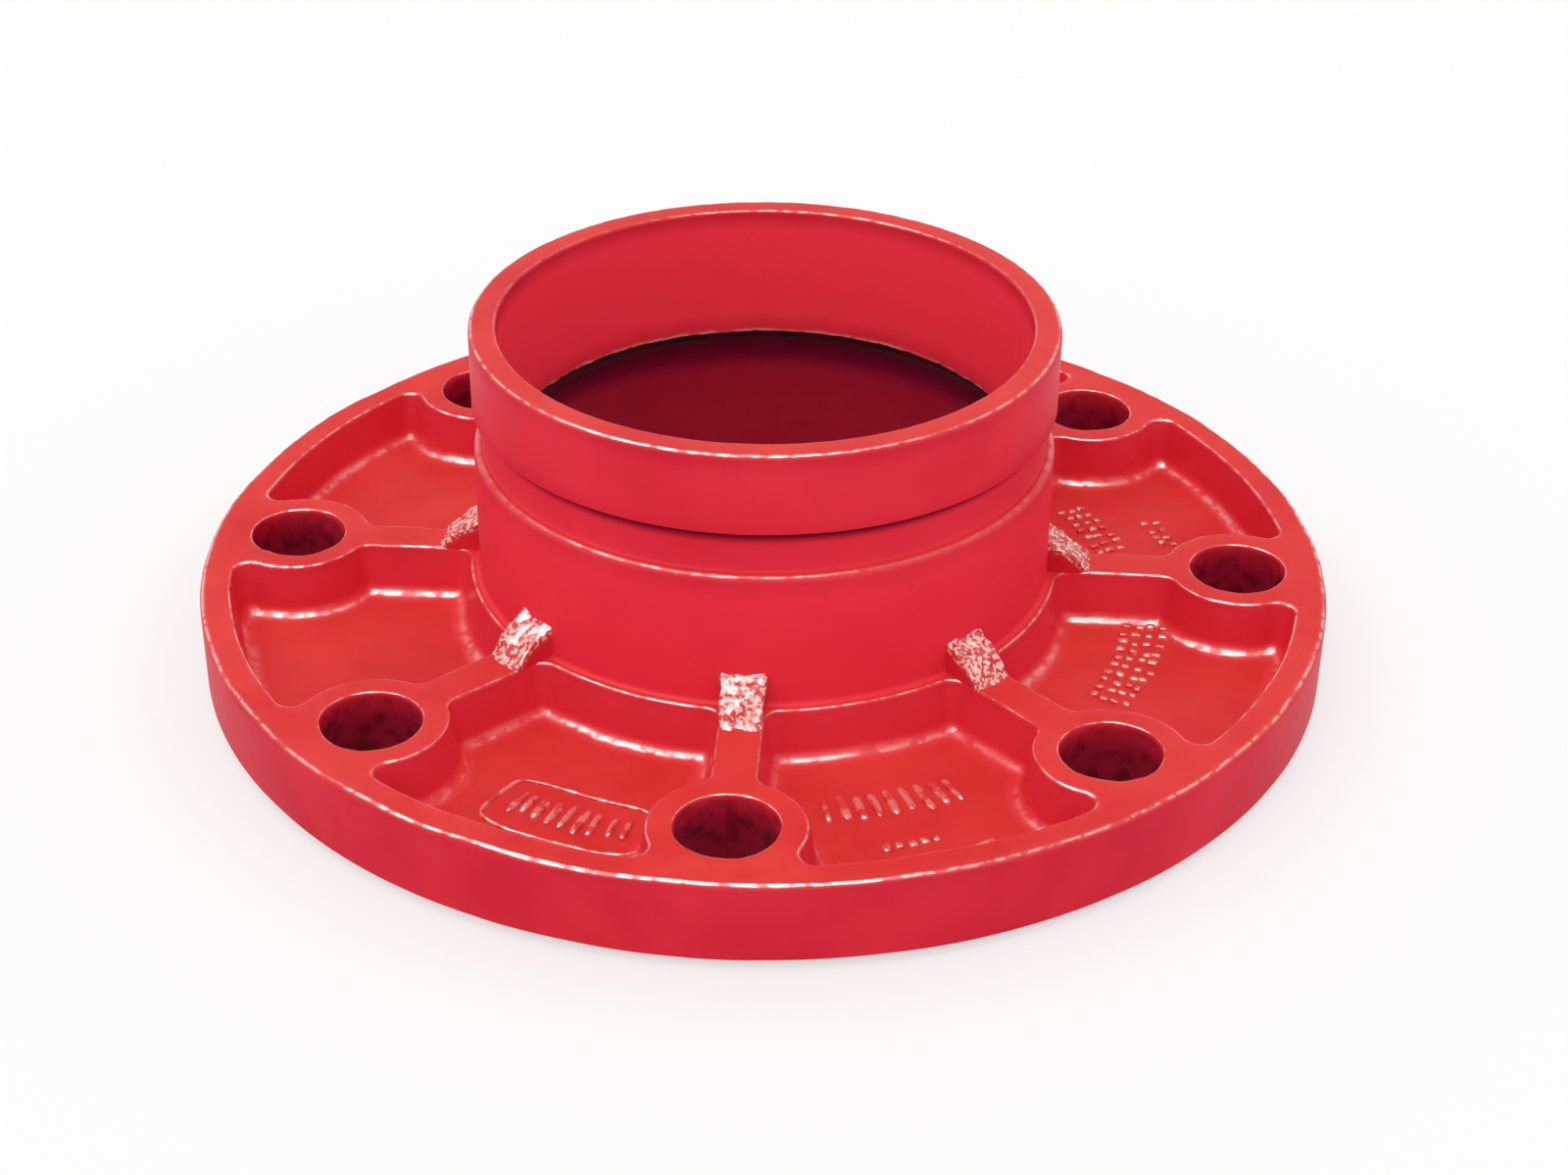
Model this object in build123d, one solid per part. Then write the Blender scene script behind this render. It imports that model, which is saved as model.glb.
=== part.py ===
from build123d import *
from math import cos, radians, sin, tan
import os

# Grooved flange adapter, one iron casting: nominal size 100 mm (4 inch) with
# class 150 bolting. Millimetres, Z up. The origin is the centre of the sealing
# face, and one bolt hole stands on the -Y axis.

# Bolting
bolt_count = 8
bolt_circle = 190.5
bolt_hole_d = 18.5

# Flange plate and its raised sealing face
edge_distance = 17.25
flange_thickness = 16.2
flange_edge_break = 1.0
face_to_holes = 7.5
raised_face_height = 1.6

# Neck, with a groove of the usual grooved-pipe sizes
overall_height = 69.6
neck_od = 114.3
end_edge_break = 0.9
groove_to_end = 15.9
groove_width = 8.7
groove_depth = 2.1
groove_shoulder_break = 1.0

# Bore: a tapered mouth down to a throat, then the wider cored passage
end_wall = 5.55
throat_wall = 7.75
passage_wall = 5.15
throat_below_end = 26.4
throat_lip = 2.8
mouth_edge_break = 0.8

# Cast pockets between the bosses
hub_ring_step = 1.95
hub_ring_blend = 0.9
rim_width = 6.2
web_thickness = 6.0
boss_wall = 5.15
boss_tail_width = 12.0
rib_width = 8.6
wall_draft = 8.4
corner_radius = 3.2
corner_foot_radius = 1.0
floor_radius = 1.8

# Gussets that carry the ribs up the neck
gusset_rise = 6.0
gusset_reach = 8.1
gusset_bulge = 0.4

flange_r = bolt_circle / 2 + edge_distance
face_r = (bolt_circle - bolt_hole_d) / 2 - face_to_holes
hole_r = bolt_hole_d / 2
neck_r = neck_od / 2
plate_z = raised_face_height
top_z = plate_z + flange_thickness
floor_z = plate_z + web_thickness
groove_top_z = overall_height - groove_to_end
groove_foot_z = groove_top_z - groove_width
throat_z = overall_height - throat_below_end
pitch = 360 / bolt_count


def section():
    """Half section of the casting from bore to rim, as if it had no pockets."""
    points = [
        (neck_r - passage_wall, 0),
        (face_r, 0),
        (face_r, plate_z),
        (flange_r - flange_edge_break, plate_z),
        (flange_r, plate_z + flange_edge_break),
        (flange_r, top_z - flange_edge_break),
        (flange_r - flange_edge_break, top_z),
        (neck_r + hub_ring_blend, top_z),
        (neck_r, top_z + hub_ring_blend),
        (neck_r, groove_foot_z - groove_shoulder_break),
        (neck_r - groove_shoulder_break, groove_foot_z),
        (neck_r - groove_depth, groove_foot_z),
        (neck_r - groove_depth, groove_top_z),
        (neck_r, groove_top_z),
        (neck_r, overall_height - end_edge_break),
        (neck_r - end_edge_break, overall_height),
        (neck_r - end_wall + mouth_edge_break, overall_height),
        (neck_r - end_wall, overall_height - mouth_edge_break),
        (neck_r - throat_wall, throat_z),
        (neck_r - passage_wall, throat_z - throat_lip),
    ]
    return make_face(Polyline([(r, 0, z) for r, z in points], close=True))


def pocket_levels():
    """Heights on a pocket's wall, each with its inset from the mouth line.

    The wall leans in by its draft from a little above the plate. At its foot a
    short slope spans the foundry radius and runs out into the floor.
    """
    over = 1.0
    draft = radians(wall_draft)
    foot_z = floor_z + floor_radius * (1 - sin(draft))
    foot_inset = (top_z - foot_z) * tan(draft)
    return [
        (top_z + over, -over * tan(draft)),
        (foot_z, foot_inset),
        (floor_z, foot_inset + floor_radius * cos(draft)),
    ]


def boss_plan(inset):
    """Boss, its rib and its tie to the rim, seen from above on the X axis."""
    centre = bolt_circle / 2
    plan = Pos(centre, 0) * Circle(hole_r + boss_wall + inset)
    plan += Pos(centre / 2, 0) * Rectangle(centre, rib_width + 2 * inset)
    plan += Pos(flange_r, 0) * Rectangle(2 * edge_distance, boss_tail_width)
    return plan


def pocket_plan(inset):
    """Outline of one pocket's space at a level, with its corners rounded."""
    far = 2 * flange_r
    ring = Circle(flange_r - rim_width - inset)
    ring -= Circle(neck_r + hub_ring_step + inset)
    side = (far * cos(radians(pitch)), far * sin(radians(pitch)))
    plan = ring & make_face(Polyline((0, 0), (far, 0), side, close=True))
    for angle in (0, pitch):
        plan -= Rot(0, 0, angle) * boss_plan(inset)
    depth_share = inset / pocket_levels()[-1][1]
    tightening = (corner_radius - corner_foot_radius) * depth_share
    return fillet(plan.vertices(), corner_radius - tightening)


def pocket():
    """Space of one pocket, from above its mouth down to its floor."""
    plans = [Pos(0, 0, z) * pocket_plan(inset) for z, inset in pocket_levels()]
    wall, foot = [loft(pair, ruled=True) for pair in zip(plans, plans[1:])]
    return wall + foot


def bolt_hole():
    """Straight bolt hole through boss and plate."""
    length = 2 * flange_thickness
    return Pos(bolt_circle / 2, 0, top_z) * Cylinder(hole_r, 2 * length)


def gusset():
    """Buttress as wide as its rib, with a slightly full face up to the neck."""
    lean = gusset_rise / gusset_reach
    inside = passage_wall / 3
    foot = (neck_r + gusset_reach, 0, top_z)
    head = (neck_r - inside, 0, top_z + gusset_rise + inside * lean)
    mid = (
        (foot[0] + head[0]) / 2 + gusset_bulge,
        0,
        (foot[2] + head[2]) / 2 + gusset_bulge,
    )
    slope = ThreePointArc(foot, mid, head)
    root_z = top_z - web_thickness / 3
    back = Polyline(head, (head[0], 0, root_z), (foot[0], 0, root_z), foot)
    side = make_face([slope, back])
    return extrude(side, amount=rib_width / 2, both=True)


def around(shape):
    """Copies of a shape at every bolt hole's angle."""
    return [Rot(0, 0, n * pitch) * shape for n in range(bolt_count)]


def casting():
    """The whole casting, turned so that one bolt hole stands on the -Y axis."""
    body = revolve(section(), axis=Axis.Z)
    body -= around(pocket())
    body += around(gusset())
    body -= around(bolt_hole())
    return Rot(0, 0, -90) * body


os.makedirs("parts", exist_ok=True)
flange_casting = casting()
export_step(flange_casting, "parts/flange_casting.step")
print("volume mm3", round(flange_casting.volume), "solids", len(flange_casting.solids()))
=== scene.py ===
# %% [markdown]
# # A grooved flange in red paint
# The object is one iron casting: a bolting flange, a short pipe neck with a
# groove near its end, and eight shallow pockets that save metal between the
# bolts. The CAD solid has the true sizes, but its edges are only broken with
# small chamfers. This lesson gives the casting its real skin: rounded edges,
# foundry radii, coarse gussets, raised marks and glossy red paint. It could be
# done by bevelling the solid, but a bevel on loose triangles easily tears, so the
# skin is worked out afresh from the same sizes and takes the solid's place.

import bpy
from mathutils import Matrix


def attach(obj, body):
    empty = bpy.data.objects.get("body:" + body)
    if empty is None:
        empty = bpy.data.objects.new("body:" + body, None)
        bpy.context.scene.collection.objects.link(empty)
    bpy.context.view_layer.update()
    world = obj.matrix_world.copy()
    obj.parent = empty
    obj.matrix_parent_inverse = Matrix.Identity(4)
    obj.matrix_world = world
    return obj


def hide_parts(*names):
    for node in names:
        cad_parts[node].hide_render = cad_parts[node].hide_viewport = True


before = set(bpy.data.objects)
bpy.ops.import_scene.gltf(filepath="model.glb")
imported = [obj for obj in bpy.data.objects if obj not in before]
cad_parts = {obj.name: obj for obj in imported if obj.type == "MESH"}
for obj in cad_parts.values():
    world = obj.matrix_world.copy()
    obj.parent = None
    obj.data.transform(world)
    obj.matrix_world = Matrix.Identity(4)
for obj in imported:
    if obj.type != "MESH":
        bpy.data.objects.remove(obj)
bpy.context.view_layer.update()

# %% [markdown]
# ## Sizes
# A pattern maker works from a list of sizes in millimetres, and so does this
# skin. They are the solid's own: heights from the sealing face upwards, and
# radii from the middle of the bore. They turn into metres only when a mesh is
# written, because Blender works in metres.

# %% Sizes of the casting
from math import cos, pi, radians, sin, sqrt, tan

import bmesh
import bpy
import numpy as np
from mathutils import Matrix, Vector, geometry

MM = 0.001
BOLTS = 8
PITCH, START = 2 * pi / BOLTS, -pi / 2
PLATE_Z, TOP_Z, FLOOR_Z, HEIGHT = 1.6, 17.8, 7.6, 69.6
FLANGE_R, FACE_R, NECK_R = 112.5, 78.5, 57.15
BOLT_R, HOLE_R, BOSS_R, RIB_HALF = 95.25, 9.25, 14.4, 4.3
HUB_R, RIM_R = 59.1, 106.3
MOUTH_R, THROAT_R, PASSAGE_R, THROAT_Z = 51.6, 49.4, 52.0, 43.2
GROOVE_TOP_Z, GROOVE_FOOT_Z, GROOVE_R = 53.7, 45.0, 55.05
print("bolt circle", 2 * BOLT_R, "neck", 2 * NECK_R, "height", HEIGHT)

# %% [markdown]
# ## Grids and outlines
# Each surface of the skin is a grid of points: a profile carried along a path.
# Its faces follow from the row and column numbers alone, so one short function
# makes the faces of every surface. Profiles are drawn with two strokes only, the
# straight run and the arc, which is also how a draughtsman would draw them.

# %% Faces of a grid, runs and arcs
def grid_faces(rows, columns, ring=False):
    """Quads of a closed band, whose point (i, j) has number i * columns + j.

    A ring also joins its last row to its first.
    """
    i = np.arange(rows if ring else rows - 1)[:, None]
    j = np.arange(columns)[None, :]
    here, there = i * columns, (i + 1) % rows * columns
    right = (j + 1) % columns
    quads = np.broadcast_arrays(here + j, here + right, there + right, there + j)
    return np.stack(quads, -1).reshape(-1, 4)


def arc(cx, cy, r, start, stop, count):
    """Points c + r (cos a, sin a) for angles a from start to stop."""
    a = np.linspace(start, stop, count)
    return np.column_stack([cx + r * np.cos(a), cy + r * np.sin(a)])


def run(a, b, count):
    """Evenly spaced points from a to b, leaving out b."""
    t = np.linspace(0, 1, count, endpoint=False)[:, None]
    return np.asarray(a, float) * (1 - t) + np.asarray(b, float) * t


def level(loop, z):
    """The points of a flat loop, all at height z."""
    return np.column_stack([loop, np.full(len(loop), z)])


print("a band of 3 x 4 points has", len(grid_faces(3, 4)), "quads")

# %% [markdown]
# ## A basket for the skin
# The surfaces are collected one by one and joined at the end. Each point also
# carries three marks that the material reads later: `edge`, where the edges get
# a painted highlight and a glossy coat; `rough`, where the iron is coarse; and a
# third for light and shade, which above 0 paints shade into hollows and below 0
# paints upright walls lighter, as painted light.

# %% The basket
class Skin:
    """Points, faces and marks of one piece, collected surface by surface."""

    MARKS = ("edge", "rough", "light_and_shade")

    def __init__(self):
        self.points, self.faces, self.marks, self.count = [], [], [], 0

    def add(self, points, faces, marks=(0.0, 0.0, 0.0)):
        """Adds points (n, 3), faces numbered within them, and marks (3,) or (n, 3)."""
        self.faces += (np.asarray(faces) + self.count).tolist()
        self.points.append(points)
        self.marks.append(np.broadcast_to(marks, (len(points), 3)))
        self.count += len(points)


casting = Skin()
print("marks of a point", Skin.MARKS)

# %% [markdown]
# ## Turning a profile
# The neck, the rim and the holes are round, so their profiles are turned about
# an axis, as on a lathe. A profile is a list of strokes, and each stroke has its
# three marks. On a rounded edge the mark swells and fades again, so that the
# bright line has no hard border. It peaks where the face looks up by 60 degrees,
# which is where the photograph's light lines lie.

# %% Turn a profile with its marks
def turned(profile, steps):
    """Profile (r, z) swept round Z: point (i, j) = (r cos a, r sin a, z)."""
    a = np.arange(steps) * 2 * pi / steps
    r, z = profile[:, :1], profile[:, 1:]
    grid = np.stack([r * np.cos(a), r * np.sin(a), z + 0 * a], -1)
    return grid.reshape(-1, 3), grid_faces(len(profile), steps)


# The edge mark made here is laid on the surface as a pale painted highlight.
def crest(start, stop, count, width=17.0):
    """Mark along an arc: e^-(d^2), where d = (60 - degrees it looks up) / width."""
    looks_up = np.degrees(np.arcsin(np.abs(np.sin(np.linspace(start, stop, count)))))
    return np.exp(-((60.0 - looks_up) / width) ** 2)


def collect(strokes, steps):
    """Joins (points, edge, rough, tone) strokes, turns them and adds them to the casting."""
    profile = np.concatenate([stroke[0] for stroke in strokes])
    marks = np.concatenate([
        np.column_stack([np.broadcast_to(mark, len(stroke[0])) for mark in stroke[1:]])
        for stroke in strokes])
    points, faces = turned(profile, steps)
    casting.add(points, faces, np.repeat(marks, steps, axis=0))
    return profile


STEPS = 300
print("mark along a rounded edge", crest(0, pi / 2, 7).round(2))

# %% [markdown]
# ## Outside of the neck
# On the real part a lathe cuts the groove that a coupling grips. The neck leaves
# the flange in a small foundry radius. The groove's lower edge is the roundest,
# as the paint fills it, and catches a smooth streak of light over a faint painted
# highlight. Its upper edge stays crisp, with a thin painted shadow line below it.
# The neck's outside is painted a little lighter, as painted light.

# %% Strokes of the neck
end_round, shoulder_round, blend, crisp = 1.1, 1.5, 0.95, 0.2
shoulder_z, band_z = GROOVE_FOOT_Z - shoulder_round, GROOVE_TOP_Z
# Marks below 0 on these strokes paint the neck lighter, as painted light.
neck = [
    (arc(NECK_R + blend, TOP_Z + blend, blend, 1.5 * pi, pi, 6), 0, 0, -0.5),
    (run((NECK_R, TOP_Z + blend), (NECK_R, shoulder_z), 7)[1:], 0, 0, -0.6),
    (arc(NECK_R - shoulder_round, shoulder_z, shoulder_round, 0, pi / 2, 9),
     0.55 * crest(0, pi / 2, 9, 24.0), 0, -0.3),
    (arc(GROOVE_R + 0.5, GROOVE_FOOT_Z + 0.5, 0.5, 1.5 * pi, pi, 4), 0, 0, -0.4),
    (run((GROOVE_R, GROOVE_FOOT_Z + 0.5), (GROOVE_R, band_z - 1.3), 4)[1:], 0, 0, -0.4),
    # A thin painted shadow line under the groove's upper edge.
    (np.array([(GROOVE_R, band_z - 1.3), (GROOVE_R, band_z - 0.02),
               (GROOVE_R + 0.05, band_z)]), 0, 0, 1.2),
    (arc(NECK_R - crisp, band_z + crisp, crisp, 1.5 * pi, 2 * pi, 4), 0, 0, -0.2),
    (run((NECK_R, band_z + crisp), (NECK_R, HEIGHT - end_round), 5)[1:], 0, 0, -0.3),
    (arc(NECK_R - end_round, HEIGHT - end_round, end_round, 0, pi / 2, 10),
     crest(0, pi / 2, 10), 0, 0),
]
print("neck strokes", len(neck))

# %% [markdown]
# ## Inside of the bore
# A sand core left the bore, which narrows to a rough lip at its throat. Below
# the lip it opens into the wide passage, where hardly any light reaches. So the
# marks make the bore lighter above the lip, as painted light, and lay painted
# shade below it: nearly black just under the lip, easing to a dark crimson
# further down. The mouth's edge and the lip's edge carry a painted highlight.

# %% Strokes of the bore and the passage
lip_r, lip_z, flare_z = THROAT_R + 0.5, THROAT_Z - 0.5, THROAT_Z - 2.8
dim_z, dark_z = 33.0, 18.0
bore = [
    (arc(MOUTH_R + 0.9, HEIGHT - 0.9, 0.9, pi / 2, pi, 7), 0.6 * crest(pi / 2, pi, 7), 0, 0),
    (run((MOUTH_R, HEIGHT - 0.9), (THROAT_R, THROAT_Z + 0.8), 8)[1:], 0, 0, -1.0),
    (run((THROAT_R, THROAT_Z + 0.8), (lip_r, lip_z), 5), np.linspace(0, 0.8, 5), 1.0, -0.6),
    # From the lip down: painted shade, nearly black under the lip and easing lower down.
    (run((lip_r, lip_z), (PASSAGE_R, flare_z), 4), 0, 0.8, 1.7),
    (run((PASSAGE_R, flare_z), (PASSAGE_R, dim_z), 5), 0, 0.1, np.linspace(1.6, 0.75, 5)),
    (run((PASSAGE_R, dim_z), (PASSAGE_R, dark_z), 3), 0, 0.1, np.linspace(0.6, 0.5, 3)),
    (run((PASSAGE_R, dark_z), (PASSAGE_R, 0.4), 4), 0, 0.1, 0.5),
    (arc(PASSAGE_R + 0.4, 0.4, 0.4, pi, 1.5 * pi, 4), 0, 0, 0),
]
print("bore strokes", len(bore))

# %% [markdown]
# ## Sealing face
# Underneath, where the photograph does not show it, a low raised ring is taken
# to seal against a gasket, as is usual on such a flange. It is turned flat, and
# its outer edge is only just broken. With it the profile is whole: up the neck,
# over the end, down the bore and out to the face's edge.

# %% Strokes of the sealing face, and turn them all
face = [
    (run((PASSAGE_R + 0.4, 0), (FACE_R - 0.3, 0), 5)[1:], 0, 0, 0),
    (arc(FACE_R - 0.3, 0.3, 0.3, 1.5 * pi, 2 * pi, 3), 0, 0, 0),
    (arc(FACE_R + 0.3, PLATE_Z - 0.3, 0.3, pi, pi / 2, 3), 0, 0, 0),
]
neck_profile = collect(neck + bore + face, STEPS)
print("neck, bore and face", len(neck_profile), "x", STEPS)

# %% [markdown]
# ## Rim of the plate
# The rim's side is straight. Its top edge looks ground and then filled by paint,
# and has the broadest bright line on the object, partly a painted highlight and
# partly the coat's gleam. Its foot is only broken.

# %% Turn the rim
rim_round, foot_round = 1.4, 0.8
rim = [
    (arc(FLANGE_R - foot_round, PLATE_Z + foot_round, foot_round, 1.5 * pi, 2 * pi, 5),
     0, 0, 0),
    (run((FLANGE_R, PLATE_Z + foot_round), (FLANGE_R, TOP_Z - rim_round), 6)[1:], 0, 0, 0),
    (arc(FLANGE_R - rim_round, TOP_Z - rim_round, rim_round, 0, pi / 2, 11),
     crest(0, pi / 2, 11), 0, 0),
]
rim_profile = collect(rim, STEPS)
print("rim", len(rim_profile), "x", STEPS)

# %% [markdown]
# ## Corners of a pocket
# Seen from above, a pocket is a piece of a ring, from which two bosses and two
# ribs are left standing. All its sides are arcs or straight lines. An arc of
# radius c that rounds a corner touches both sides, so its middle is c away from
# each, and Pythagoras gives that middle exactly.

# %% Helpers for the corners
MOUTH_CORNER, FOOT_CORNER = 3.2, 1.0


def unit(v):
    """The direction of v, one long."""
    return v / np.hypot(*v)


def corner_arc(centre, start, stop, count):
    """The shorter arc round a centre between two points that it touches."""
    a = np.arctan2(start[1] - centre[1], start[0] - centre[0])
    b = np.arctan2(stop[1] - centre[1], stop[0] - centre[0])
    b = a + (b - a + pi) % (2 * pi) - pi
    return arc(*centre, np.hypot(*(start - centre)), a, b, count)


def corner_middles(hub, rim, boss, rib, c):
    """Middles of the corners hub-rib, rib-boss and boss-rim, each c from two sides."""
    at_hub = np.array([sqrt((hub + c) ** 2 - (rib + c) ** 2), rib + c])
    at_boss = np.array([BOLT_R - sqrt((boss + c) ** 2 - (rib + c) ** 2), rib + c])
    x = (BOLT_R**2 + (rim - c) ** 2 - (boss + c) ** 2) / (2 * BOLT_R)
    return at_hub, at_boss, np.array([x, sqrt((rim - c) ** 2 - x**2)])


middles = corner_middles(HUB_R, RIM_R, BOSS_R, RIB_HALF, MOUTH_CORNER)
print("corner middles", *(place.round(1) for place in middles))

# %% [markdown]
# ## Outline of a pocket
# The walls lean, so the outline is needed at many depths. Leaning only moves
# every side inwards by an inset, so one function of the inset and the corner
# radius gives them all. It draws half of the pocket, beside the boss on the X
# axis, and a mirror gives the other half.

# %% Pocket outline at any inset
def half_outline(inset, c):
    """Outline beside the boss on the X axis, from the hub's middle to the rim's."""
    hub, rim = HUB_R + inset, RIM_R - inset
    boss, rib = BOSS_R + inset, RIB_HALF + inset
    at_hub, at_boss, at_rim = corner_middles(hub, rim, boss, rib, c)
    origin, centre = np.zeros(2), np.array([BOLT_R, 0.0])
    middle = np.array([cos(PITCH / 2), sin(PITCH / 2)])
    hub_touch, rim_touch = hub * unit(at_hub), rim * unit(at_rim)
    boss_in = centre + boss * unit(at_boss - centre)
    boss_out = centre + boss * unit(at_rim - centre)
    rib_in, rib_out = np.array([at_hub[0], rib]), np.array([at_boss[0], rib])
    return np.concatenate([
        corner_arc(origin, hub * middle, hub_touch, 13)[:-1],
        corner_arc(at_hub, hub_touch, rib_in, 9)[:-1],
        run(rib_in, rib_out, 7),
        corner_arc(at_boss, rib_out, boss_in, 8)[:-1],
        corner_arc(centre, boss_in, boss_out, 22)[:-1],
        corner_arc(at_rim, boss_out, rim_touch, 12)[:-1],
        corner_arc(origin, rim_touch, rim * middle, 14)[:-1],
        (rim * middle)[None],
    ])


def outline(inset, c):
    """The closed outline: one half, and its mirror image in the line between two bosses."""
    half = half_outline(inset, c)
    s, k = sin(PITCH), cos(PITCH)
    mirror = half @ np.array([[k, s], [s, -k]])
    return np.concatenate([half, mirror[1:-1][::-1]])


print("pocket outline", len(outline(0, MOUTH_CORNER)), "points")

# %% [markdown]
# ## Section of the wall
# The pattern must leave the sand, so the wall leans by the draft. Its mouth is
# rounded outwards and its foot inwards, in a foundry radius that gathers a broad
# pale glow, partly a painted highlight and partly the coat's gleam, and is drawn
# 0.6 mm larger than the solid's. The mouth's edge carries a painted highlight,
# the wall a faint painted sheen, and the whole section is painted a little
# lighter, as painted light. The section is a list of pairs, inset and height.

# %% Section from the mouth to the floor
draft, mouth_round, floor_round = radians(8.4), 0.9, 2.4
foot_z = FLOOR_Z + floor_round * (1 - sin(draft))
foot_inset = (TOP_Z - foot_z) * tan(draft)
full_inset = foot_inset + floor_round * cos(draft)
mouth_inset = mouth_round * (sin(draft) - 1) / cos(draft)
mouth_arc = arc(mouth_inset, TOP_Z - mouth_round, mouth_round, pi / 2, draft, 6)
wall_top = ((TOP_Z - mouth_arc[-1, 1]) * tan(draft), mouth_arc[-1, 1])
foot_arc = arc(full_inset, FLOOR_Z + floor_round, floor_round, pi + draft, 1.5 * pi, 8)
section = np.concatenate([mouth_arc, run(wall_top, (foot_inset, foot_z), 5)[1:], foot_arc])
# Marks: painted highlight at the mouth, faint painted sheen on the wall, painted glow in the
# foot, and painted light over all.
section_marks = np.concatenate([
    np.column_stack([crest(pi / 2, draft, 6), np.zeros(6), np.full(6, -0.2)]),
    np.tile([0.13, 0.0, -0.3], (4, 1)),
    np.column_stack([0.7 * crest(draft, pi / 2, 8, 32.0), np.zeros(8), np.full(8, -0.3)]),
])
print("wall", len(section), "points, leaning in by", round(full_inset, 2), "mm")

# %% [markdown]
# ## Walls and floor of the pockets
# Every pair of the section places the whole outline, and the stack of outlines
# is the wall. Its corners tighten on the way down, as the solid's do. The floor
# closes the pocket: its rings shrink towards one middle point, and a fan fills
# the last ring, so no hole is left.

# %% Stack the outlines and close the floor
def corner_radius(inset):
    """The corner's radius, falling evenly from the mouth's to the floor's."""
    return MOUTH_CORNER - (MOUTH_CORNER - FOOT_CORNER) * inset / full_inset


walls = np.stack([level(outline(inset, corner_radius(inset)), z) for inset, z in section])
middle_r = 86
middle = np.array([middle_r * cos(PITCH / 2), middle_r * sin(PITCH / 2), FLOOR_Z])
share = np.array([0.06, 0.18, 0.32, 0.48, 0.66, 0.84])[:, None, None]
pocket = np.concatenate([walls, walls[-1] * (1 - share) + middle * share])
rows, columns = pocket.shape[:2]
pocket_points = np.concatenate([pocket.reshape(-1, 3), middle[None]])
floor_marks = np.zeros((len(share) * columns + 1, 3))
pocket_marks = np.concatenate([np.repeat(section_marks, columns, axis=0), floor_marks])
last = (rows - 1) * columns + np.arange(columns)
fan = np.column_stack([last, np.roll(last, -1), np.full(columns, rows * columns)])
print("one pocket", rows, "x", columns, "points and a fan of", len(fan))

# %% [markdown]
# ## Eight pockets
# The casting repeats itself eight times about the bore, and a bolt boss stands
# at the front. One pocket's points are turned by a rotation matrix and added
# eight times, which is exact and costs nothing.

# %% Place the pockets round the bore
def spin(points, n):
    """Points turned about the bore to the nth place: (x c - y s, x s + y c)."""
    c, s = cos(START + n * PITCH), sin(START + n * PITCH)
    return points @ np.array([[c, s, 0], [-s, c, 0], [0, 0, 1]])


for n in range(BOLTS):
    first = casting.count
    casting.add(spin(pocket_points, n), grid_faces(rows, columns), pocket_marks)
    casting.faces += (fan + first).tolist()
print("pockets", BOLTS)

# %% [markdown]
# ## Bolt holes
# The holes look cored rather than drilled: their walls are lumpy, and their
# edges are soft. The section runs from the plate's top to its underside, and its
# painted shade darkens on the way, while its top edge carries a painted
# highlight. Its middle rows are close together, because the lumps need points to
# bend.

# %% Turn the bolt holes
hole_round, hole_foot, HOLE_STEPS = 0.6, 0.3, 84
hole_wall = run((HOLE_R, TOP_Z - hole_round), (HOLE_R, PLATE_Z + hole_foot), 19)[1:]
hole_section = np.concatenate([
    arc(HOLE_R + hole_round, TOP_Z - hole_round, hole_round, pi / 2, pi, 4),
    hole_wall,
    arc(HOLE_R + hole_foot, PLATE_Z + hole_foot, hole_foot, pi, 1.5 * pi, 3),
])
hole_marks = np.zeros((len(hole_section), 3))
# A painted highlight on the top edge, and painted shade down the wall that darkens lower
# down.
hole_marks[:4, 0] = crest(pi / 2, pi, 4)
hole_marks[4:-3, 1] = 1.0
hole_marks[4:-3, 2] = np.clip(0.25 + 0.07 * np.arange(len(hole_wall)), 0, 0.6)
hole_points, hole_faces = turned(hole_section, HOLE_STEPS)
for n in range(BOLTS):
    casting.add(spin(hole_points + [BOLT_R, 0, 0], n), hole_faces,
                np.repeat(hole_marks, HOLE_STEPS, axis=0))
print("holes", BOLTS, "of", len(hole_section), "x", HOLE_STEPS)

# %% [markdown]
# ## Which points lie where
# What is left of the plate's top is a flat with many holes in it. Two questions
# must be answered for many points at once: does a point lie in an outline, and
# is it clear of it? The first counts how often a line from the point crosses the
# outline: an odd number means inside.

# %% Tests for a flat
def inside(points, loop):
    """Whether each point lies in a closed loop: an odd number of crossings to its right."""
    x, y = points[:, :1], points[:, 1:]
    ax, ay = loop[:, 0], loop[:, 1]
    bx, by = np.roll(ax, -1), np.roll(ay, -1)
    crosses = (ay > y) != (by > y)
    reach = ax + (y - ay) * (bx - ax) / np.where(by == ay, 1e-12, by - ay)
    return np.sum(crosses & (x < reach), axis=1) % 2 == 1


def clear_of(points, loops, gap):
    """Whether each point is farther than gap from every point of the loops."""
    free = np.ones(len(points), bool)
    for loop in loops:
        away = points[:, None] - loop[None]
        free &= np.min(away[..., 0] ** 2 + away[..., 1] ** 2, axis=1) > gap**2
    return free


square = np.array([(0, 0), (1, 0), (1, 1), (0, 1)], float)
print("in the square:", inside(np.array([(0.5, 0.5), (2.0, 0.5)]), square))

# %% [markdown]
# ## Filling a flat
# A constrained triangulation fills a flat from its edges, and the triangles in a
# pocket or a hole are dropped by where their middles lie. Long thin triangles
# would shade like a fan, so a lattice of points, each row shifted by half a
# step, is spread over the flat first.

# %% Triangulate between outlines
def lattice(loops, outer, inner, spacing):
    """Points every spacing mm in shifted rows, between outer and inner, off the loops."""
    ticks = np.arange(-FLANGE_R, FLANGE_R, spacing)
    x, y = np.meshgrid(ticks, ticks)
    x[1::2] += spacing / 2
    grid = np.column_stack([x.ravel(), y.ravel()])
    grid = grid[inside(grid, outer) & ~inside(grid, inner)]
    return grid[clear_of(grid, loops, spacing * 0.6)]


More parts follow.
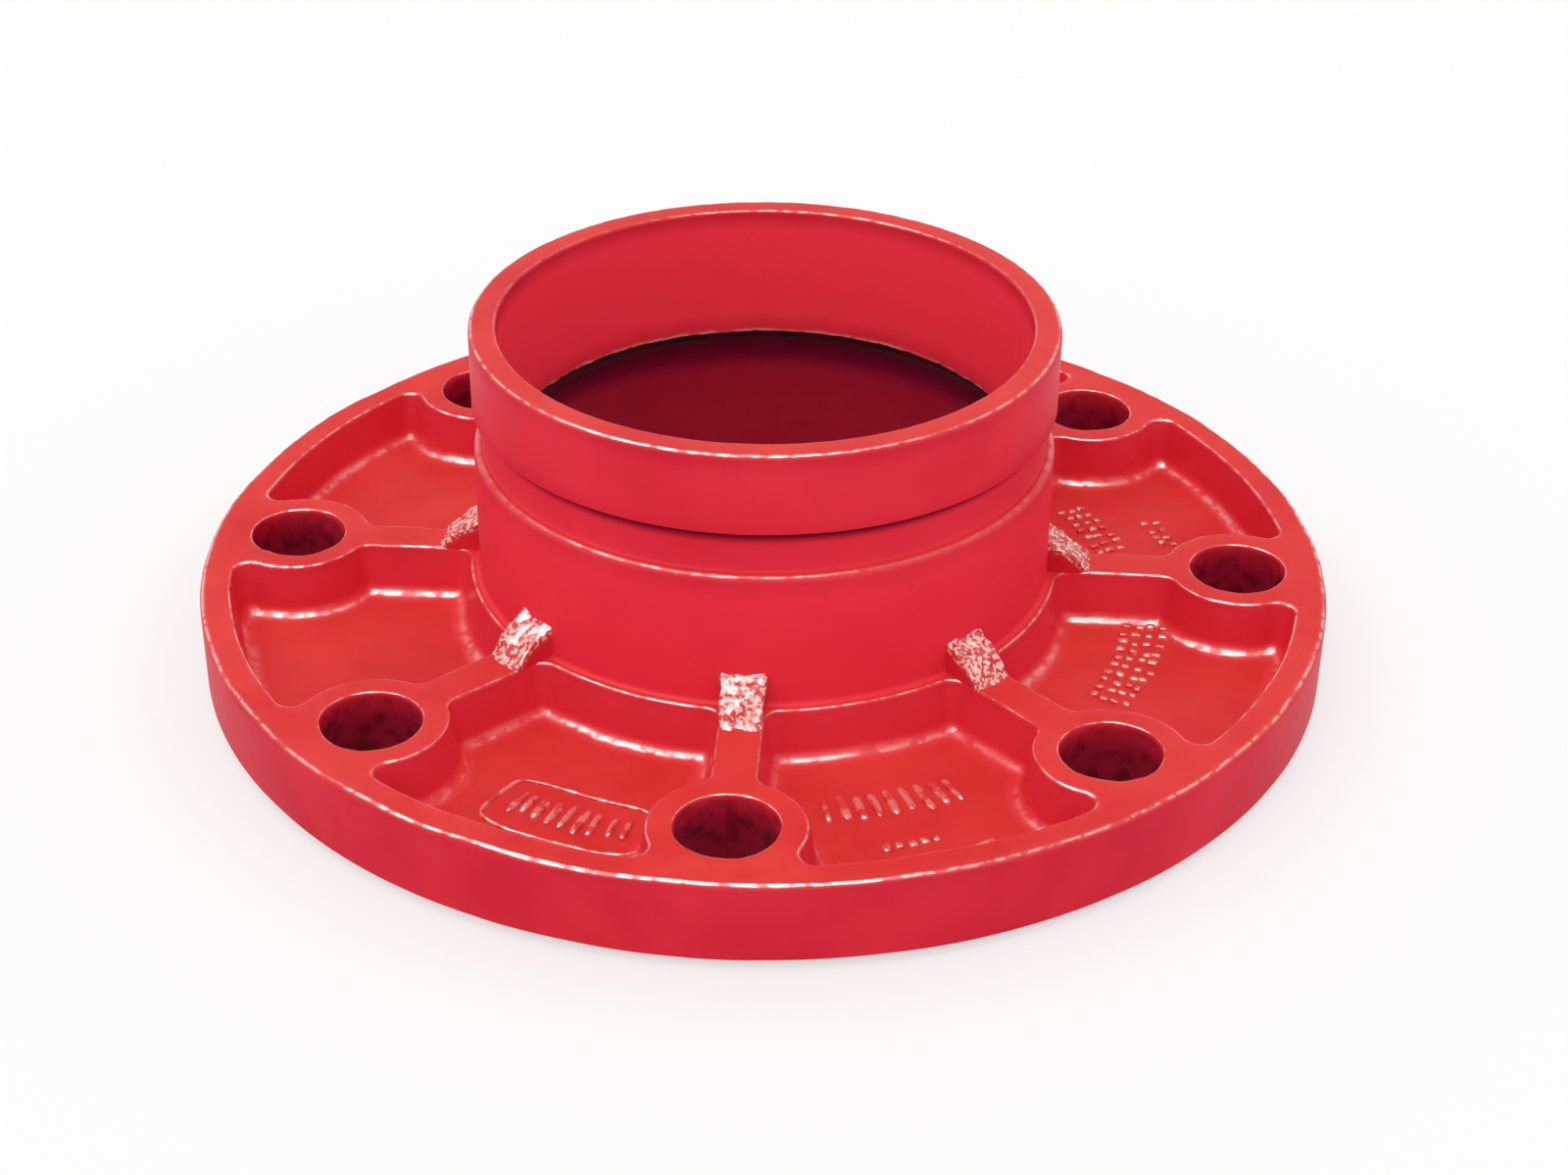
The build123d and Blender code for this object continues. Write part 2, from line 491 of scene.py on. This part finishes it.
def flat(outer, inner, islands, z, spacing):
    """Adds the triangles between an outer and an inner loop, round islands, at height z."""
    loops = [outer, inner, *islands]
    starts = np.cumsum([0] + [len(loop) for loop in loops])
    edges = np.concatenate([
        np.column_stack([np.arange(len(loop)), np.roll(np.arange(len(loop)), -1)]) + first
        for loop, first in zip(loops, starts)])
    spread = np.concatenate([*loops, lattice(loops, outer, inner, spacing)])
    corners = [Vector(p) for p in spread.tolist()]
    out = geometry.delaunay_2d_cdt(corners, edges.tolist(), [], 0, 1e-7)
    points, triangles = np.array([tuple(v) for v in out[0]]), np.array(out[2])
    centres = points[triangles].mean(axis=1)
    keep = inside(centres, outer) & ~inside(centres, inner)
    for island in islands:
        keep &= ~inside(centres, island)
    casting.add(level(points, z), triangles[keep])
    return int(keep.sum())


block = 20 * square
print("lattice points in 20 x 20 mm", len(lattice([block], block, 0 * block, 4.0)))

# %% [markdown]
# ## Top and underside of the plate
# The top is bounded by the rim and the neck's radius, with eight pockets and
# eight holes as islands. The underside, which is a guess, has only the holes.
# Both are flat, and both take the very points of their neighbours, so that they
# join without a gap.

# %% Fill the top and the underside
def ring_of(r, steps):
    """A circle of points (r cos a, r sin a), from the X axis round."""
    a = np.arange(steps) * 2 * pi / steps
    return np.column_stack([r * np.cos(a), r * np.sin(a)])


def spun(loop, n):
    """A flat loop turned about the bore to the nth place."""
    return spin(level(loop, 0.0), n)[:, :2]


mouth_loop = outline(section[0, 0], corner_radius(section[0, 0]))
top_hole = ring_of(HOLE_R + hole_round, HOLE_STEPS) + [BOLT_R, 0]
low_hole = ring_of(HOLE_R + hole_foot, HOLE_STEPS) + [BOLT_R, 0]
top_islands = [spun(loop, n) for n in range(BOLTS) for loop in (mouth_loop, top_hole)]
low_islands = [spun(low_hole, n) for n in range(BOLTS)]
rim_in, hub_out = ring_of(rim_profile[-1, 0], STEPS), ring_of(neck_profile[0, 0], STEPS)
rim_low, face_out = ring_of(rim_profile[0, 0], STEPS), ring_of(neck_profile[-1, 0], STEPS)
print("top", flat(rim_in, hub_out, top_islands, TOP_Z, spacing=1.9),
      "underside", flat(rim_low, face_out, low_islands, PLATE_Z, spacing=4.0))

# %% [markdown]
# ## Gussets
# Each rib climbs the neck in a short ramp that braces it. The foundry leaves its
# face coarse, and pale flecks are painted over it as highlights, so that it looks
# like crumpled foil. The ramp is a bar: a section with two soft upper corners,
# carried from the rib into the neck while it climbs and swells by half a
# millimetre. Both ends are buried, so the bar is closed by itself and needs no
# cutting.

# %% Sweep one gusset
reach, rise, half, soft = 8.4, 6.3, 4.25, 0.6
climb = np.linspace(-0.12, 1.12, 22)[:, None]
swell = 0.5 * np.sin(pi * np.clip(climb, 0, 1))
ramp_x = NECK_R + reach * (1 - climb) + swell
ramp_z = TOP_Z + rise * climb + swell
half_width = half + 0.5 * np.clip(climb - 0.55, 0, 1) ** 1.5
corner, across = arc(0, 0, soft, pi, pi / 2, 5), np.arange(1, 16) / 16
side = np.concatenate([-np.ones(7), 2 * across - 1, np.ones(7)])
shift = np.concatenate([[0, 0], soft + corner[:, 0], soft * (1 - 2 * across),
                        -soft - corner[::-1, 0], [0, 0]])
drop = np.concatenate([[-6, -3], corner[:, 1] - soft, 0 * across,
                       corner[::-1, 1] - soft, [-3, -6]])
gusset = np.stack(np.broadcast_arrays(ramp_x, half_width * side + shift, ramp_z + drop), -1)
print("gusset", gusset.shape[:2])

# %% [markdown]
# ## Eight gussets
# Only the ramp's upper side is coarse, so the marks are strong there and end at
# the two lower points on either side. These marks lay the painted fleck
# highlights and a faint painted edge highlight. The caps close the bar's ends.

# %% Place the gussets
g_rows, g_columns = gusset.shape[:2]
coarse_side = np.where(drop > -2, 1.0, 0.0)
row_marks = np.column_stack([0.6 * coarse_side, 2 * coarse_side, 0 * drop])
gusset_marks = np.tile(row_marks, (g_rows, 1))
for n in range(BOLTS):
    first = casting.count
    casting.add(spin(gusset.reshape(-1, 3), n), grid_faces(g_rows, g_columns), gusset_marks)
    casting.faces += [list(range(first, first + g_columns)),
                      list(range(casting.count - g_columns, casting.count))]
print("gussets", BOLTS, "of", g_rows, "x", g_columns)

# %% [markdown]
# ## Weld the skin
# Neighbouring surfaces hold the same points along their seams. Welding points
# that are nearly in one place joins them into one closed skin, and the faces are
# then all turned outwards. The number of open edges shows whether it worked.

# %% Make a mesh from a basket
WELD, SHARP = 0.008 * MM, radians(60)


def make_piece(name, skin):
    """Writes a skin in metres, welds its seams and turns its faces outwards."""
    mesh = bpy.data.meshes.new(name)
    mesh.from_pydata((np.concatenate(skin.points) * MM).tolist(), [], skin.faces)
    for mark, values in zip(Skin.MARKS, np.concatenate(skin.marks).T):
        layer = mesh.attributes.new(mark, "FLOAT", "POINT")
        layer.data.foreach_set("value", values.astype(np.float32))
    bm = bmesh.new()
    bm.from_mesh(mesh)
    bmesh.ops.remove_doubles(bm, verts=bm.verts, dist=WELD)
    bmesh.ops.recalc_face_normals(bm, faces=bm.faces)
    gaps = sum(len(e.link_faces) != 2 for e in bm.edges)
    bm.to_mesh(mesh)
    bm.free()
    mesh.shade_smooth()
    mesh.set_sharp_from_angle(angle=SHARP)
    piece = bpy.data.objects.new(name, mesh)
    bpy.context.scene.collection.objects.link(piece)
    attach(piece, "root")
    print(name, len(mesh.vertices), "points, open edges", gaps)
    return piece


flange = make_piece("flange_casting_skin", casting)
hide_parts("flange_casting")
print("triangles", sum(len(p.vertices) - 2 for p in flange.data.polygons))

# %% [markdown]
# ## Random lumps
# Sand moulds are never true. Their unevenness is modelled by random heights on a
# cubic lattice, blended smoothly in between. The same seed gives the same
# casting every time.

# %% Smooth random heights
LATTICE = 40
heights_at = np.random.default_rng(11).uniform(-1, 1, (LATTICE, LATTICE, LATTICE))


def lumps(points, scale, shift=0.0):
    """Random heights on a lattice of scale mm, blended between by 3t^2 - 2t^3."""
    p = points / scale + shift
    cell = np.floor(p).astype(int)
    t = p - cell
    t = t * t * (3 - 2 * t)
    total = np.zeros(len(p))
    for corner in np.ndindex(2, 2, 2):
        at = (cell + corner) % LATTICE
        weight = np.prod(np.where(corner, t, 1 - t), axis=1)
        total += weight * heights_at[at[:, 0], at[:, 1], at[:, 2]]
    return total


print("lumps in a line", lumps(np.arange(12.0).reshape(4, 3), 2.5).round(2))

# %% [markdown]
# ## Cast the skin
# Each point moves along its normal, a little everywhere, more on edges and most
# where the iron is coarse. As-cast surfaces also drift sideways, so that ribs
# and bosses are not quite alike, while the turned neck stays true: the change
# begins 0.3 mm off it and is full 4 mm further out. Nothing may leave the
# solid's box, so the rim and the ends are held inside it.

# %% Move the points as a foundry would
# How far points move, in mm
ALL_OVER, AS_CAST, ON_EDGES, SUNK = 0.03, 0.06, 0.09, 0.05
COARSE, FINE, ADRIFT = 0.24, 0.16, 0.22


def read(data, key, width=1):
    """One value of every point as an array, (n, width) or (n,)."""
    values = np.empty(len(data) * width, np.float32)
    data.foreach_get(key, values)
    return values.astype(float).reshape(-1, width) if width > 1 else values.astype(float)


def cast(mesh):
    """Moves points along the normal and sideways, then notes how far each looks up."""
    points, normals = read(mesh.vertices, "co", 3) / MM, read(mesh.vertices, "normal", 3)
    edge, rough = (read(mesh.attributes[m].data, "value") for m in ("edge", "rough"))
    as_cast = np.clip((np.hypot(points[:, 0], points[:, 1]) - NECK_R - 0.3) / 4, 0, 1)
    as_cast *= np.clip(points[:, 2] - PLATE_Z, 0, 1)
    move = (ALL_OVER + AS_CAST * as_cast) * lumps(points, 9.0)
    move += ON_EDGES * edge * lumps(points, 1.6, 5.3)
    crust = COARSE * lumps(points, 2.3, 9.1) + FINE * lumps(points, 1.05, 3.7)
    move += rough * crust - SUNK
    drift = np.column_stack([lumps(points, 11.0, s) + 0.4 * lumps(points, 4.0, s)
                             for s in (2, 17, 31)])
    points += normals * move[:, None] + ADRIFT * drift * as_cast[:, None]
    points[:, :2] *= np.minimum(1, (FLANGE_R - 0.1) / np.hypot(*points[:, :2].T))[:, None]
    points[:, 2] = np.clip(points[:, 2], 0, HEIGHT - 0.01)
    mesh.vertices.foreach_set("co", (points * MM).astype(np.float32).ravel())
    mesh.update()
    # How far each point looks up, which the paint uses to make upward faces lighter and
    # warmer, as painted light.
    up = np.clip(read(mesh.vertices, "normal", 3)[:, 2], 0, 1).astype(np.float32)
    mesh.attributes.new("up", "FLOAT", "POINT").data.foreach_set("value", up)


cast(flange.data)
print("cast skin", [round(v / MM, 2) for v in flange.dimensions])

# %% [markdown]
# ## Rounded boxes for the marks
# Such castings carry raised marks where the pattern had them. Here they are
# plain bars and beads with no meaning. Each is a rounded box: the sines and
# cosines of a sphere are drawn towards 1, so that the sphere grows flat sides.
# One array holds all boxes of a row at once.

# %% Rounded boxes and rows of them
def blunt(values, power):
    """Values drawn towards 1 and -1, with their signs kept: sign(v) |v| ^ power."""
    return np.sign(values) * np.abs(values) ** power


def raised(places, halves, power=0.5):
    """Rounded boxes at (radius, degrees), with half sizes along, across and up."""
    v = np.linspace(-pi / 2, pi / 2, 8)[None, :, None]
    u = (np.arange(16) * 2 * pi / 16)[None, None, :]
    radius, angle = places.T[:, :, None, None]
    along, across, high = halves.T[:, :, None, None]
    angle = np.radians(angle)
    r = radius + along * blunt(np.cos(v), power) * blunt(np.cos(u), power)
    s = across * blunt(np.cos(v), power) * blunt(np.sin(u), power)
    z = FLOOR_Z - 0.1 + high * blunt(np.sin(v), power) + 0 * u
    return np.stack(np.broadcast_arrays(r * np.cos(angle) - s * np.sin(angle),
                                        r * np.sin(angle) + s * np.cos(angle), z), -1)


def row_of(count, radius, first, last, along, across, high=0.75):
    """A row of equal boxes on an arc round the bore, as places and half sizes."""
    places = np.column_stack([np.full(count, radius), np.linspace(first, last, count)])
    return places, np.tile([along, across, high], (count, 1))


print("one box", raised(*row_of(1, 80.0, 0.0, 0.0, 1.0, 1.0)).shape)

# %% [markdown]
# ## Rows of bars and beads
# Four pockets carry marks: rows of bars, two dashes and small fields of beads.
# A random change, by up to 0.35 mm and 0.3 degrees in place and by 18 parts in a
# hundred in size, keeps the rows from looking stamped out by a machine.

# %% Lay out the rows
rows_of_marks = [
    row_of(9, 86.5, -117.2, -102.8, 3.4, 0.72), row_of(9, 77.5, -77.8, -59.8, 4.0, 0.78),
    row_of(5, 90.5, -72.6, -66.0, 1.0, 0.8), row_of(2, 94.6, -75.5, -61.5, 0.75, 2.1),
    *(row_of(10, r, -6.0, -27.0, 0.95, 0.72) for r in (73.9, 76.3, 78.7, 81.1)),
    *(row_of(7, r, 31.5, 17.5, 0.95, 0.72) for r in (72.4, 74.8, 77.2)),
    *(row_of(4, r, 23.0, 17.3, 0.9, 0.7) for r in (86.3, 88.5)),
]
places, halves = (np.concatenate(part) for part in zip(*rows_of_marks))
wobble = np.random.default_rng(5).uniform(-1, 1, (len(places), 5))
boxes = raised(places + wobble[:, :2] * [0.35, 0.3], halves * (1 + 0.18 * wobble[:, 2:]))
marks = Skin()
box_faces = grid_faces(8, 16)[None] + 128 * np.arange(len(boxes))[:, None, None]
# The bars, beads and border get a painted highlight along their edges and a glossy coat.
MARK_PAINT = (0.8, 0.5, 0.0)
marks.add(boxes.reshape(-1, 3), box_faces.reshape(-1, 4), MARK_PAINT)
print("bars and beads", len(boxes))

# %% [markdown]
# ## Border of the plate
# The front left pocket has a small framed plate. Its border is a thin cord of
# iron, half sunk in the floor: a circle carried round a rounded rectangle. The
# sideways direction at each point comes from its two neighbours on the path.

# %% Sweep the border and make the marks
plate_r, plate_half_r, plate_a, plate_half_a, cord_r = 86.7, 7.6, -110, 10, 0.5
t = np.arange(90) * 2 * pi / 90
path_r = plate_r + plate_half_r * blunt(np.cos(t), 0.4)
path_a = np.radians(plate_a + plate_half_a * blunt(np.sin(t), 0.4))
path = np.column_stack([path_r * np.cos(path_a), path_r * np.sin(path_a)])
ahead = np.roll(path, -1, axis=0) - np.roll(path, 1, axis=0)
sideways = np.column_stack([ahead[:, 1], -ahead[:, 0]]) / np.hypot(*ahead.T)[:, None]
bend = (np.arange(8) * 2 * pi / 8)[None, :, None]
seen_from_above = path[:, None] + cord_r * np.cos(bend) * sideways[:, None]
heights = np.broadcast_to(FLOOR_Z + cord_r * np.sin(bend), (len(path), 8, 1))
border = np.concatenate([seen_from_above, heights], -1)
marks.add(border.reshape(-1, 3), grid_faces(len(path), 8, ring=True), MARK_PAINT)
cast_marks = make_piece("cast_marks", marks)
cast(cast_marks.data)

# %% [markdown]
# ## Shader maths as plain Python
# A finish is a formula over the surface. Wiring its Math nodes by hand hides the
# formula, so a small class wraps one output of a node. Adding, subtracting or
# multiplying wrapped outputs adds the Math nodes by itself.

# %% A socket that can be reckoned with
class Value:
    """One node output that takes part in Python arithmetic."""

    def __init__(self, tree, socket):
        self.tree, self.socket = tree, socket

    def math(self, operation, *others):
        """A Math node of this value and others."""
        return self.tree.node("ShaderNodeMath", {"operation": operation}, (self, *others))

    def __add__(self, other):
        return self.math("ADD", other)

    def __sub__(self, other):
        return self.math("SUBTRACT", other)

    def __rsub__(self, other):
        return self.tree.node("ShaderNodeMath", {"operation": "SUBTRACT"}, (other, self))

    def __mul__(self, other):
        return self.math("MULTIPLY", other)

    __radd__, __rmul__ = __add__, __mul__

    def clamp(self):
        """Held between 0 and 1."""
        return self.math("MAXIMUM", 0.0).math("MINIMUM", 1.0)

    def between(self, low, high):
        """0 at low, 1 at high and a straight line in between."""
        return ((self - low) * (1 / (high - low))).clamp()


print("named methods of a Value", [name for name in vars(Value) if name[0] != "_"])

# %% [markdown]
# ## A builder for node trees
# One method adds any node: its settings first, because they decide which sockets
# it has, and then the numbers, colours or links of its sockets. The same builder
# serves the paint, the floor and the sky.

# %% Node builder
class Finish:
    """The nodes of a material or of the sky, built one at a time."""

    def __init__(self, owner):
        owner.use_nodes = True
        self.owner, self.tree = owner, owner.node_tree
        self.tree.nodes.clear()

    def node(self, kind, settings=None, inputs=(), output=0):
        """Adds a node with its settings, then its inputs by place or by name."""
        made = self.tree.nodes.new(kind)
        for key, value in (settings or {}).items():
            setattr(made, key, value)
        for key, value in (inputs.items() if isinstance(inputs, dict) else enumerate(inputs)):
            if isinstance(value, Value):
                self.tree.links.new(value.socket, made.inputs[key])
            else:
                made.inputs[key].default_value = value
        return Value(self, made.outputs[output]) if made.outputs else made

    def mix(self, factor, a, b):
        """Colour a where factor is 0 and b where it is 1."""
        return self.node("ShaderNodeMix", {"data_type": "RGBA"}, {0: factor, 6: a, 7: b}, 2)


paint = Finish(bpy.data.materials.new("red_paint"))
print("empty paint", len(paint.tree.nodes), "nodes")

# %% [markdown]
# ## Marks and noise in the paint
# The paint reads the marks of the skin and the object's own coordinates, so it
# stays fixed on the iron from every side. Five noises of different grain stand
# for clouds in the colour, waves and grain of the film, beads along the edges
# and flecks on the coarse iron.

# %% Read the marks and lay out the noises
where = paint.node("ShaderNodeTexCoord", output=3)
edge, rough, light_and_shade, up = (paint.node("ShaderNodeAttribute", {"attribute_name": name}, output=2)
                         for name in (*Skin.MARKS, "up"))


def noise(scale, detail):
    """Noise with about one lump per 1/scale metres."""
    return paint.node("ShaderNodeTexNoise", {},
                      {"Vector": where, "Scale": scale, "Detail": detail})


cloud = noise(45.0, 4.0)
mottle = cloud.between(0.3, 0.7)
waves, grain = noise(110.0, 2.0), noise(330.0, 3.0)
beads, fine_beads, flecks = noise(430.0, 2.5), noise(720.0, 1.5), noise(1150.0, 1.0)
print("noises and marks", len(paint.tree.nodes), "nodes")

# %% [markdown]
# ## The red
# The enamel is painted a lighter, warmer red on surfaces that look up and a
# darker, cooler crimson on the upright ones, as painted light and shade from
# above. Both vary a little in soft clouds. Where the marks fall below 0, upright
# walls and the bore are painted lighter still, as painted light. The colours are
# linear, so 0.65 for red looks brighter than it reads.

# %% Mix the reds
shaded_side_red = paint.mix(mottle, (0.60, 0.014, 0.034, 1), (0.70, 0.027, 0.048, 1))
lit_top_red = paint.mix(mottle, (0.68, 0.029, 0.030, 1), (0.79, 0.054, 0.046, 1))
# Upward faces painted lighter than upright ones: painted light from above.
colour = paint.mix((up * 1.25 - 0.2).clamp(), shaded_side_red, lit_top_red)
# Painted light: places marked below 0 turn a brighter red.
colour = paint.mix((light_and_shade * -1.0).clamp(), colour, (0.92, 0.042, 0.074, 1))
print("reds", len(paint.tree.nodes), "nodes")

# %% [markdown]
# ## Painted highlights on the edges
# A pale tint follows the edge mark as a painted highlight, and beads of noise
# break its middle into the dashes that the photograph shows along the rim and the
# pockets.

# %% Painted highlights along the edges
# The edge mark gives a painted highlight here and, further down, the coat's weight.
glow = edge.clamp()
core = edge.between(0.52, 0.92) * beads.between(0.44, 0.52)
colour = paint.mix(glow * 0.12, colour, (0.95, 0.28, 0.28, 1))
colour = paint.mix(core * 0.36, colour, (1.0, 0.62, 0.50, 1))
print("edges", len(paint.tree.nodes), "nodes")

# %% [markdown]
# ## Coarse iron, painted flecks and painted shade
# On the gussets the paint lies in a coarse crust, and pale flecks are painted over
# a deeper red as highlights on its tips. In the holes and under the throat's lip
# it is the other way round: painted shade, a dark crimson with nearly black
# painted shadow in the pits.

# %% Painted flecks and painted shade
coarse = ((rough - 1.1) * 2.0).clamp()
fleck_gloss_and_painted_highlight = coarse * flecks.between(0.50, 0.55)
colour = paint.mix(coarse * 0.8, colour, (0.60, 0.035, 0.05, 1))
# Pale flecks as painted highlights, whose mask also weighs the glossy coat.
colour = paint.mix(fleck_gloss_and_painted_highlight * 0.75, colour, (1.0, 0.66, 0.55, 1))
# Painted shade in the holes and the passage, with nearly black painted shadow in the pits.
shade = light_and_shade.clamp()
pit_shadow = (light_and_shade - 1.0).clamp() + shade * rough * 0.8 * grain.between(0.52, 0.38)
colour = paint.mix(shade, colour, (0.17, 0.001, 0.028, 1))
colour = paint.mix(pit_shadow.clamp(), colour, (0.014, 0.0001, 0.001, 1))
print("hollows", len(paint.tree.nodes), "nodes")

# %% [markdown]
# ## Relief of the film
# The film's own relief is a few hundredths of a millimetre. That is too fine for
# the mesh, so it is a bump: a sum of noises, each weighed by a mark. Long waves
# lie everywhere, and grain and beads grow along the edges and on coarse iron.

# %% Bump of the paint
height = (0.35 * grain * (1 + edge) + 0.30 * fine_beads * (2 * edge + rough)
          + 1.2 * beads * edge + 0.8 * waves)
bump = paint.node("ShaderNodeBump", {},
                  {"Strength": 0.35, "Distance": 0.0005, "Height": height})
print("bump", len(paint.tree.nodes), "nodes")

# %% [markdown]
# ## The paint's shader
# The enamel itself mirrors only weakly. A clear coat, strong where the film pools
# in a radius or beads on an edge, gives the white gleams. Its weight changes with
# the marks, while its own roughness and refraction are one number each.

# %% Join the paint
roughness = (0.34 + 0.16 * cloud - 0.12 * edge).clamp()
coat = (glow * (0.25 + 1.1 * beads.between(0.40, 0.54)) + fleck_gloss_and_painted_highlight * 0.12).clamp()
shader = paint.node("ShaderNodeBsdfPrincipled", {}, {
    "Base Color": colour, "Roughness": roughness, "Normal": bump, "Coat Weight": coat,
    "IOR": 1.5, "Specular IOR Level": 0.05, "Coat Roughness": 0.24, "Coat IOR": 1.8})
paint.node("ShaderNodeOutputMaterial", {}, [shader])
for piece in (flange, cast_marks):
    piece.data.materials.append(paint.owner)
print("paint", len(paint.tree.nodes), "nodes")

# %% [markdown]
# ## Floor
# The photograph stands on pure white. The floor is a pale diffuse plane, and
# for the camera and for reflections six tenths of it are a plain white glow. That
# whitens it without lighting the object, and what is left of the diffuse part
# keeps the soft shadow under the flange. It lies a tenth of a millimetre lower
# than the sealing face, so that the two never share a place.

# %% A pale floor
CAMERA_RAY, GLOSSY_RAY, TRANSMISSION_RAY = 0, 3, 6
FLOOR_HALF, FLOOR_LEVEL, WHITE_SHARE = 6, -0.1 * MM, 0.6


def seen_ray(tree):
    """1 for rays from the camera, in a reflection or through glass, otherwise 0."""
    camera_ray, glossy_ray, transmission_ray = (
        tree.node("ShaderNodeLightPath", output=place)
        for place in (CAMERA_RAY, GLOSSY_RAY, TRANSMISSION_RAY))
    return (camera_ray + glossy_ray + transmission_ray).clamp()


floor_mesh = bpy.data.meshes.new("floor")
floor_points = level(FLOOR_HALF * (2 * square - 1), FLOOR_LEVEL)
floor_mesh.from_pydata(floor_points.tolist(), [], [(0, 1, 2, 3)])
floor = bpy.data.objects.new("floor", floor_mesh)
bpy.context.scene.collection.objects.link(floor)
ground = Finish(bpy.data.materials.new("pale_floor"))
lit_floor = ground.node("ShaderNodeBsdfDiffuse", {}, {"Color": (0.93, 0.93, 0.93, 1)})
white = ground.node("ShaderNodeEmission", {}, {"Strength": 1.0})
whitened = ground.node("ShaderNodeMixShader", {},
                       [seen_ray(ground) * WHITE_SHARE, lit_floor, white])
ground.node("ShaderNodeOutputMaterial", {}, [whitened])
floor_mesh.materials.append(ground.owner)
print("floor", len(ground.tree.nodes), "nodes")

# %% [markdown]
# ## Sky
# The even light of the photograph could come from a white tent, and the sky
# stands for it. It is white to the camera and in reflections, and lights the
# object at a slightly lower level, so that the red renders as it is written.

# %% A white sky
sky = Finish(bpy.data.worlds.new("sky"))
bpy.context.scene.world = sky.owner
lit = sky.node("ShaderNodeBackground", {}, {"Color": (1, 1, 1, 1), "Strength": 0.93})
seen = sky.node("ShaderNodeBackground", {}, {"Color": (1, 1, 1, 1), "Strength": 1.0})
tent = sky.node("ShaderNodeMixShader", {}, [seen_ray(sky), lit, seen])
sky.node("ShaderNodeOutputWorld", {}, [tent])
print("sky", len(sky.tree.nodes), "nodes")

# %% [markdown]
# ## Lamps
# A weak broad sun gives the faces their soft shape. The bright lines in the
# photograph look like the mirror image of a large lamp overhead. The second sun,
# the gleam, stands for it: it is strong, but shows only in gloss, so it adds no
# diffuse light to the red.

# %% A sun for shape and one for gleams
def sun(name, toward, angle, strength, colour):
    """A sun that shines from a direction, as wide as an angle in degrees."""
    data = bpy.data.lights.new(name, "SUN")
    data.angle, data.energy, data.color = radians(angle), strength, colour
    lamp = bpy.data.objects.new(name, data)
    lamp.rotation_euler = Vector(toward).to_track_quat("Z", "Y").to_euler()
    bpy.context.scene.collection.objects.link(lamp)
    return lamp


sun("broad", (-0.3, -0.5, 1), 50, 0.4, (1.0, 1.0, 1.0))
gleam = sun("gleam", (-0.25, -0.1, 1), 60, 10.0, (1.0, 0.96, 0.93))
gleam.visible_diffuse = False

# %% [markdown]
# ## Camera
# The view was worked out from the photograph: the ellipses of the rim, the neck
# and the bolt holes give the distance, the height and the lens. The camera looks
# at the middle of the plate, turned a little to the side and tilted a third of a
# degree, and a small shift places the object in the frame.

# %% Set up the camera
azimuth, elevation, roll = radians(3.66), radians(31.5), radians(0.36)
DISTANCE, FOCAL_PIXELS, PHOTO_WIDTH, SENSOR = 0.5623, 2792, 1600, 36.0
back = np.array([sin(azimuth) * cos(elevation), -cos(azimuth) * cos(elevation),
                 sin(elevation)])
level_right = np.array([cos(azimuth), sin(azimuth), 0.0])
level_up = np.cross(back, level_right)
right = cos(roll) * level_right + sin(roll) * level_up
upward = cos(roll) * level_up - sin(roll) * level_right
place = np.array([0, 0, PLATE_Z * MM]) + DISTANCE * back
lens = bpy.data.cameras.new("camera")
lens.sensor_width, lens.lens = SENSOR, FOCAL_PIXELS / PHOTO_WIDTH * SENSOR
lens.shift_x, lens.shift_y = 0.01325, 0.0194
camera = bpy.data.objects.new("camera", lens)
axes = np.column_stack([right, upward, back, place])
camera.matrix_world = Matrix([*axes.tolist(), [0, 0, 0, 1]])
bpy.context.scene.collection.objects.link(camera)
bpy.context.scene.camera = camera
bpy.context.scene.view_settings.view_transform = "Standard"
print("camera", [round(v, 4) for v in camera.location], "lens", round(lens.lens, 2))
